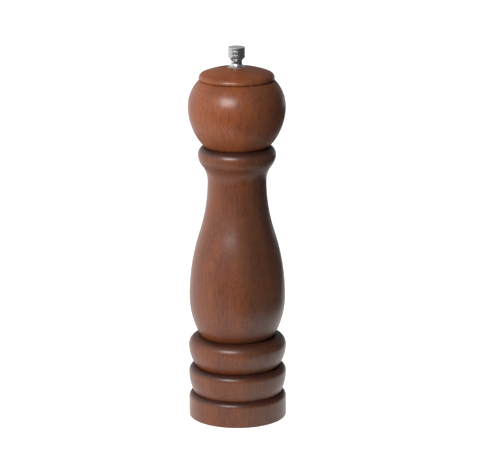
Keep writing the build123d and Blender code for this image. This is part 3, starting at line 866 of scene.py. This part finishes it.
def head_outside():
    """The turned outline, from the foot of the head to the seat of the ferrule."""
    return joined(
        arc_into(HEAD_BOTTOM, HEAD_WIDEST, DOWN, steps=32),
        arc(HEAD_WIDEST, HEAD_SHOULDER, UP, steps=26),
        [CAP_GROOVE],
        cap_points(),
        [(SEAT_RADIUS, SEAT_Z)],
    )


head_inside = softened(
    [
        (SEAT_RADIUS, SEAT_Z),
        (SPIGOT_BORE, SEAT_Z, TENON_ROUND),
        (SPIGOT_BORE, SPIGOT_BORE_Z, TENON_ROUND),
        (SHAFT_HOLE, SPIGOT_BORE_Z, TENON_ROUND),
        (SHAFT_HOLE, TENON_BOTTOM, FINE_ROUND),
        (TENON_RADIUS - TENON_CHAMFER, TENON_BOTTOM, TENON_ROUND),
        (TENON_RADIUS, TENON_BOTTOM + TENON_CHAMFER, TENON_ROUND),
        (TENON_RADIUS, HEAD_BOTTOM[1], TENON_ROUND),
        HEAD_BOTTOM,
    ]
)
head_mesh = lathe("head_wood", [(head_outside(), LACQUERED), (head_inside, RAW)], [HEAD_BOTTOM])
make_piece("head_wood", head_mesh, [head_wood, raw_wood], "head", "stained_wood", "head")
print("head faces:", len(head_mesh.polygons))

# %% [markdown]
# ## Metal and nylon
#
# The knob's plating is bright but no mirror: fine turning lines spread what it reflects, and the ferrule is
# one step duller. A smoother metal would show the white room as glare and look like glass.
# Drawn and rolled steel has lines along the way it was worked. The grinder's hardened steel is dark and
# carries a little pepper dust in its teeth. Nylon is milky, and light goes a little way in.

# %% Metal node groups
TONE_SIZE = 90.0
SPECK_SIZE, DRIFT_SIZE = 2600.0, 170.0
SPECK_LEVEL, SPECK_EDGE = 0.80, 0.06
PEPPER = (0.075, 0.050, 0.030, 1)


def worked_lines_group():
    """Fine lines along one axis, as on drawn or brushed metal."""
    inputs = [
        ("Position", "vector", None),
        ("Across", "vector", (1, 1, 0.02)),
        ("Fineness", "value", 4000.0),
    ]
    tree, given, result = new_group("worked_lines", inputs, [("Height", "value"), ("Tone", "value")])
    drawn = node(tree, "VectorMath", {0: given.outputs[0], 1: given.outputs[1]}, operation="MULTIPLY")
    lines = grainy(tree, drawn.outputs[0], given.outputs[2], 2.0, 0.7)
    broad = grainy(tree, given.outputs[0], TONE_SIZE, 2.0)
    tree.links.new(lines, result.inputs[0])
    tree.links.new(broad, result.inputs[1])
    return tree


def pepper_dust_group():
    """Specks of ground pepper that cling to the grinder."""
    inputs = [("Position", "vector", None), ("Amount", "value", 0.35)]
    tree, given, result = new_group("pepper_dust", inputs, [("Mask", "value"), ("Height", "value")])
    specks = grainy(tree, given.outputs[0], SPECK_SIZE, 2.0, 0.6)
    drifts = grainy(tree, given.outputs[0], DRIFT_SIZE, 2.0)
    edge = maths(tree, "SUBTRACT", SPECK_LEVEL, maths(tree, "MULTIPLY", given.outputs[1], drifts))
    mask = remap(tree, specks, edge, maths(tree, "ADD", edge, SPECK_EDGE))
    tree.links.new(mask, result.inputs[0])
    tree.links.new(maths(tree, "MULTIPLY", mask, specks), result.inputs[1])
    return tree


worked_lines = worked_lines_group()
pepper_dust = pepper_dust_group()
print("groups of the metal:", worked_lines.name, pepper_dust.name)

# %% Metal finishes
UPRIGHT_LINES, ROUND_LINES, CROSS_LINES, NO_LINES = (1, 1, 0.02), (0.02, 0.02, 1), (1, 0.03, 1), (1, 1, 1)
METAL_PATCH_SIZE, METAL_HAIRLINES = 0.006, 0.0006
METAL_PATCH_ROUGH, METAL_SCRATCH_ROUGH, METAL_RELIEF = 0.08, 0.15, 0.00002
DUST_ROUGH, DUST_RISE = 0.5, 3.0


def metal_material(name, light, dark, roughness, lines=UPRIGHT_LINES, line_rise=0.4, dust=0.0):
    """Worked metal: two tones, lines along the way it was made, scratches and some pepper dust."""
    material, tree, shader, position = new_material(name)
    line_height, line_tone = place(tree, worked_lines, Position=position, Across=lines)
    sizes = {"Patch Size": METAL_PATCH_SIZE, "Hairlines": METAL_HAIRLINES}
    patches, scratches = place(tree, handling, Position=position, **sizes)
    colour = blend(tree, remap(tree, line_tone, *MOST_NOISE), (*dark, 1), (*light, 1))
    rough = maths(tree, "ADD", maths(tree, "MULTIPLY", patches, METAL_PATCH_ROUGH), roughness)
    rough = maths(tree, "ADD", rough, maths(tree, "MULTIPLY", scratches, METAL_SCRATCH_ROUGH))
    height = maths(tree, "MULTIPLY", line_height, line_rise)
    shader.inputs["Metallic"].default_value = 1.0
    if dust:
        cover, bulk = place(tree, pepper_dust, Position=position, Amount=dust)
        colour = blend(tree, cover, colour, PEPPER)
        rough = maths(tree, "ADD", rough, maths(tree, "MULTIPLY", cover, DUST_ROUGH), clamp=True)
        height = maths(tree, "ADD", height, maths(tree, "MULTIPLY", bulk, DUST_RISE))
        tree.links.new(maths(tree, "SUBTRACT", 1.0, cover), shader.inputs["Metallic"])
    tree.links.new(colour, shader.inputs["Base Color"])
    tree.links.new(rough, shader.inputs["Roughness"])
    tree.links.new(bump(tree, height, METAL_RELIEF, strength=0.35), shader.inputs["Normal"])
    return material


chrome = metal_material("chrome", (0.50, 0.50, 0.50), (0.43, 0.44, 0.44), 0.24, ROUND_LINES, 0.15)
satin_chrome = metal_material("satin_chrome", (0.50, 0.50, 0.51), (0.42, 0.42, 0.43), 0.34, ROUND_LINES, 0.25)
drawn_steel = metal_material("drawn_steel", (0.60, 0.59, 0.58), (0.47, 0.46, 0.46), 0.27)
rolled_steel = metal_material("rolled_steel", (0.62, 0.61, 0.60), (0.50, 0.50, 0.50), 0.30, CROSS_LINES, 0.6)
hardened = metal_material("hardened_steel", (0.17, 0.165, 0.16), (0.10, 0.10, 0.10), 0.38, dust=0.42)
zinc_cast = metal_material("zinc_cast", (0.55, 0.55, 0.56), (0.44, 0.44, 0.45), 0.40, NO_LINES, 0.8, 0.28)
plated = metal_material("plated_steel", (0.72, 0.70, 0.66), (0.60, 0.59, 0.57), 0.24, NO_LINES, 0.3)
spring_wire = metal_material("spring_wire", (0.50, 0.50, 0.51), (0.38, 0.38, 0.39), 0.25, NO_LINES, 0.3)
metals = [chrome, satin_chrome, drawn_steel, rolled_steel, hardened, zinc_cast, plated, spring_wire]
print("metal finishes:", [metal.name for metal in metals])

# %% Nylon
NYLON_DARK, NYLON_LIGHT, NYLON_MOTTLE = (0.72, 0.70, 0.62, 1), (0.80, 0.78, 0.72, 1), 350.0
NYLON_ROUGH, NYLON_ROUGH_SIZE = (0.38, 0.5), 1800.0
NYLON_DEPTH, NYLON_DEPTH_SHARE = 0.001, 0.15


def nylon_material():
    """Milky moulded nylon."""
    material, tree, shader, position = new_material("nylon")
    tone = remap(tree, grainy(tree, position, NYLON_MOTTLE, 3.0), *MOST_NOISE)
    tree.links.new(blend(tree, tone, NYLON_DARK, NYLON_LIGHT), shader.inputs["Base Color"])
    rough = remap(tree, grainy(tree, position, NYLON_ROUGH_SIZE, 2.0), *MOST_NOISE, *NYLON_ROUGH)
    tree.links.new(rough, shader.inputs["Roughness"])
    shader.inputs["Subsurface Weight"].default_value = NYLON_DEPTH_SHARE
    shader.inputs["Subsurface Scale"].default_value = NYLON_DEPTH
    return material


nylon = nylon_material()
print("moulded finish:", nylon.name)

# %% [markdown]
# ## The knob and its ferrule
#
# The knob is turned from brass bar and plated: a straight neck, a taper, and three ribs that the fingers
# grip. The flared ferrule below it spreads its pull over the wood. Every edge has a small round, because a
# plated edge always has one, and that round is what catches the light.
# A bevel modifier would round all the edges alike. Here each corner of the outline has a round of its own.

# %% Knob
SMALL_SEGMENTS = 96
KNOB_Z, NECK_RADIUS, NECK_TOP = 244.1, 3.6, 245.9
RIB_RADIUS, RIB_CORE, RIBS_Z, TAPER_DROP = 5.65, 5.25, 247.9, 0.05
RIB_HEIGHTS, RIB_GAP = (2.3, 2.1, 1.4), 0.55
CROWN_RISE, CROWN_SHARE = 0.35, 0.6
RIB_ROUND, RIB_FOOT_ROUND, GAP_ROUND, CORE_ROUND = 0.06, 0.05, 0.08, 0.02
NECK_ROUND, NECK_TOP_ROUND = 0.15, 0.4
THREAD_BORE, BORE_TOP = 2.55, 253.8
INSERT_BORE, INSERT_TOP = 3.05, KNOB_Z + 1.6
KNOB_ROUND_STEPS = 6


def knob_outside():
    """From the foot of the neck to the crown."""
    corners = [
        (INSERT_BORE, KNOB_Z),
        (NECK_RADIUS, KNOB_Z, NECK_ROUND),
        (NECK_RADIUS, NECK_TOP, NECK_TOP_ROUND),
        (RIB_CORE, RIBS_Z - TAPER_DROP, NECK_ROUND),
        (RIB_CORE, RIBS_Z, CORE_ROUND),
    ]
    z = RIBS_Z
    for i, height in enumerate(RIB_HEIGHTS):
        corners += [(RIB_RADIUS, z, RIB_ROUND), (RIB_RADIUS, z + height, RIB_ROUND)]
        corners += [(RIB_CORE, z + height, RIB_FOOT_ROUND)]
        z += height + RIB_GAP
        if i < len(RIB_HEIGHTS) - 1:
            corners.append((RIB_CORE, z, GAP_ROUND))
    top = z - RIB_GAP
    crown = [(RIB_CORE * CROWN_SHARE, top + CROWN_RISE * CROWN_SHARE), (0, top + CROWN_RISE)]
    return softened(corners, KNOB_ROUND_STEPS) + crown


knob_inside = [
    (0, BORE_TOP),
    (THREAD_BORE, BORE_TOP),
    (THREAD_BORE, INSERT_TOP),
    (INSERT_BORE, INSERT_TOP),
    (INSERT_BORE, KNOB_Z),
]
knob_mesh = lathe("knob_chrome", [(knob_inside + knob_outside()[1:], 0)], segments=SMALL_SEGMENTS)
make_piece("knob_chrome", knob_mesh, [chrome], "knob", "polished_chrome", "adjusting_knob")
print("knob faces:", len(knob_mesh.polygons))

# %% Ferrule
FERRULE_Z, FERRULE_RIM, FERRULE_TOP, FERRULE_BORE = 241.4, 0.7, 244.0, 2.8
SPIGOT_RADIUS, SPIGOT_END = 4.6, FERRULE_Z - 4.0
RIM_ROUND, SPIGOT_ROOT_ROUND, SPIGOT_END_ROUND = 0.2, 0.1, 0.3

rim_top = (RIB_RADIUS, FERRULE_Z + FERRULE_RIM)
ferrule_corners = [
    rim_top,
    (RIB_RADIUS, FERRULE_Z, RIM_ROUND),
    (SPIGOT_RADIUS, FERRULE_Z, SPIGOT_ROOT_ROUND),
    (SPIGOT_RADIUS, SPIGOT_END, SPIGOT_END_ROUND),
    (FERRULE_BORE, SPIGOT_END),
]
ferrule_flare = arc((NECK_RADIUS, FERRULE_TOP), rim_top, DOWN, steps=14)
ferrule_outline = joined([(FERRULE_BORE, FERRULE_TOP)], ferrule_flare, softened(ferrule_corners))
ferrule_mesh = lathe("ferrule_chrome", [(ferrule_outline, 0)], segments=SMALL_SEGMENTS)
make_piece("ferrule_chrome", ferrule_mesh, [satin_chrome], "ferrule", "polished_chrome", "top_ferrule")
print("ferrule faces:", len(ferrule_mesh.polygons))

# %% [markdown]
# ## The shaft and its thread
#
# The shaft is square so that the drive plate can turn it, and round and threaded at its end for the knob.
# A thread could be a Screw modifier on a small profile. Here it is one skin of rings whose radius rises and
# falls with the angle and the height, so that square, shoulder and thread stay a single closed mesh.

# %% Shaft
SHAFT_HALF, SHAFT_CORNER = 2.5, 3.25
SHAFT_FOOT, SQUARE_BOTTOM, SQUARE_TOP, SHAFT_TOP = 5.6, 9.0, 235.5, 250.6
FOOT_RADIUS, CLIP_GROOVE_RADIUS, CLIP_TOP, CLIP_BOTTOM = 2.2, 1.7, 8.2, 7.4
FOOT_CHAMFER, SQUARE_EASE, NECK_DROP = 0.3, 0.4, 0.05
THREAD_RADIUS, THREAD_ROOT, THREAD_PITCH, THREAD_CREST = 2.49, 2.05, 0.8, 1.35
THREAD_START, THREAD_END = 0.6, 0.5
TIP_LENGTH, TIP_CHAMFER = 0.4, 0.35
SHAFT_SIDES, ROWS_PER_TURN = 48, 8


def square_radius(angle):
    """Radius of the chamfered square section at an angle."""
    flat = SHAFT_HALF / max(abs(math.cos(angle)), abs(math.sin(angle)))
    return min(flat, SHAFT_CORNER)


def thread_radius(angle, height):
    """Radius of the thread: a ridge with a narrow flat crest that climbs one pitch per turn."""
    phase = (height / THREAD_PITCH - angle / (2 * math.pi)) % 1.0
    ridge = 0.5 + 0.5 * math.cos(2 * math.pi * phase)
    return THREAD_ROOT + (THREAD_RADIUS - THREAD_ROOT) * min(1.0, THREAD_CREST * ridge)


def round_radius(radius):
    """The same radius at every angle."""
    return lambda angle: radius


def shaft_levels():
    """The shaft's sections from the foot up, as (height, radius at an angle)."""
    levels = [
        (SHAFT_FOOT, round_radius(FOOT_RADIUS - FOOT_CHAMFER)),
        (SHAFT_FOOT + FOOT_CHAMFER, round_radius(FOOT_RADIUS)),
        (CLIP_BOTTOM, round_radius(FOOT_RADIUS)),
        (CLIP_BOTTOM, round_radius(CLIP_GROOVE_RADIUS)),
        (CLIP_TOP, round_radius(CLIP_GROOVE_RADIUS)),
        (CLIP_TOP, round_radius(FOOT_RADIUS)),
        (SQUARE_BOTTOM, round_radius(FOOT_RADIUS)),
        (SQUARE_BOTTOM, square_radius),
        (SQUARE_TOP - SQUARE_EASE, square_radius),
        (SQUARE_TOP, round_radius(SHAFT_HALF - NECK_DROP)),
        (SQUARE_TOP + FOOT_CHAMFER, round_radius(THREAD_ROOT)),
    ]
    rows = int((SHAFT_TOP - THREAD_END - SQUARE_TOP - THREAD_START) / THREAD_PITCH * ROWS_PER_TURN)
    for i in range(rows):
        height = SQUARE_TOP + THREAD_START + i * THREAD_PITCH / ROWS_PER_TURN
        levels.append((height, lambda angle, height=height: thread_radius(angle, height)))
    levels.append((SHAFT_TOP - TIP_LENGTH, round_radius(THREAD_ROOT)))
    levels.append((SHAFT_TOP, round_radius(THREAD_ROOT - TIP_CHAMFER)))
    return levels


def skin(name, rings):
    """Closed mesh through rings of as many points each, with flat ends."""
    work = bmesh.new()
    rows = [[work.verts.new(Vector(point) * mm) for point in ring] for ring in rings]
    count = len(rows[0])
    for low, high in zip(rows, rows[1:]):
        for k in range(count):
            work.faces.new([low[k], low[(k + 1) % count], high[(k + 1) % count], high[k]])
    work.faces.new(rows[0][::-1])
    work.faces.new(rows[-1])
    return smooth_mesh(name, work)


def shaft_ring(height, radius_at):
    """The points of one section of the shaft."""
    angles = [2 * math.pi * (i + 0.5) / SHAFT_SIDES for i in range(SHAFT_SIDES)]
    return [(radius_at(a) * math.cos(a), radius_at(a) * math.sin(a), height) for a in angles]


shaft_mesh = skin("shaft_steel", [shaft_ring(height, radius_at) for height, radius_at in shaft_levels()])
make_piece("shaft_steel", shaft_mesh, [drawn_steel], "shaft", "brushed_steel", "grinder_shaft")
print("shaft faces:", len(shaft_mesh.polygons))

# %% [markdown]
# ## The spring
#
# A wound compression spring has a closed coil at each end, ground flat to sit square, and open coils between.
# The wire follows a helix whose climb is slow at the ends. It rests under the bush, and as the knob draws the
# rotor up it gets shorter.

# %% Spring
SPRING_TOP, SPRING_BOTTOM = 31.8, 22.8
SPRING_RADIUS, WIRE_RADIUS = 4.6, 0.5
SPRING_COILS, CLOSED_COILS = 6.0, 1.0
COIL_STEPS, WIRE_SIDES = 40, 12
CLIMB_EASE, GROUND_FLAT = 0.3, 0.02


def spring_rise(share):
    """Height of the wire's centre at a share of the wire, with closed coils at both ends."""
    low, high = SPRING_BOTTOM + WIRE_RADIUS, SPRING_TOP - WIRE_RADIUS
    closed = CLOSED_COILS / SPRING_COILS
    seat = 2 * WIRE_RADIUS
    if share < closed:
        return low + seat * share / closed
    if share > 1 - closed:
        return high - seat * (1 - share) / closed
    inner = (share - closed) / (1 - 2 * closed)
    eased = inner * inner * (3 - 2 * inner) * CLIMB_EASE + inner * (1 - CLIMB_EASE)
    return low + seat + (high - low - 2 * seat) * eased


def spring_ring(share):
    """Section of the wire: a circle that stands across the coil, cut flat at the ground ends."""
    angle = 2 * math.pi * SPRING_COILS * share
    ring = []
    for k in range(WIRE_SIDES):
        turn = 2 * math.pi * k / WIRE_SIDES
        radius = SPRING_RADIUS + WIRE_RADIUS * math.cos(turn)
        height = spring_rise(share) + WIRE_RADIUS * math.sin(turn)
        height = min(max(height, SPRING_BOTTOM + GROUND_FLAT), SPRING_TOP - GROUND_FLAT)
        ring.append((radius * math.cos(angle), radius * math.sin(angle), height))
    return ring


steps = int(SPRING_COILS * COIL_STEPS)
spring_mesh = skin("spring_steel", [spring_ring(i / steps) for i in range(steps + 1)])
spring = make_piece(
    "spring_steel", spring_mesh, [spring_wire], "drive_bush", "spring_steel", "grinder_spring"
)
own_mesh(spring)

# %% [markdown]
# ## The pieces that keep their CAD shape
#
# Plate, bridge, bush, grinder, clips and screws already have their true shape in the frame. They only need
# their finish, and a small bevel modifier that takes the razor edge off, as tumbling does on real parts.
# The table gives each piece its material and the width of its bevel in millimetres.

# %% Finishes on the CAD pieces
BEVEL_SEGMENTS, BEVEL_ANGLE = 2, math.radians(40)
KEPT_PIECES = {
    "knob_friction_insert": (nylon, 0),
    "bridge_bush": (nylon, 0.15),
    "drive_plate": (rolled_steel, 0.12),
    "guide_bridge": (rolled_steel, 0.12),
    "stator": (hardened, 0.05),
    "rotor": (hardened, 0.05),
    "stator_housing": (zinc_cast, 0.15),
    "drive_plate_screws": (plated, 0.06),
    "stator_screws": (plated, 0.06),
    "shaft_stop_clip": (plated, 0.08),
    "rotor_washer": (plated, 0.08),
    "shaft_foot_clip": (plated, 0.08),
    "spring_seat": (plated, 0.08),
}


def dress(name, material, bevel):
    """Gives a CAD node its material in every slot, and a small bevel on its sharp edges."""
    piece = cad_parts[name]
    if not piece.data.materials:
        piece.data.materials.append(material)
    for slot in piece.material_slots:
        slot.material = material
    if bevel:
        modifier = piece.modifiers.new("soft_edges", "BEVEL")
        modifier.width = bevel * mm
        modifier.segments = BEVEL_SEGMENTS
        modifier.limit_method = "ANGLE"
        modifier.angle_limit = BEVEL_ANGLE
    return piece


for name, (material, bevel) in KEPT_PIECES.items():
    dress(name, material, bevel)
print("kept CAD pieces:", len(KEPT_PIECES))
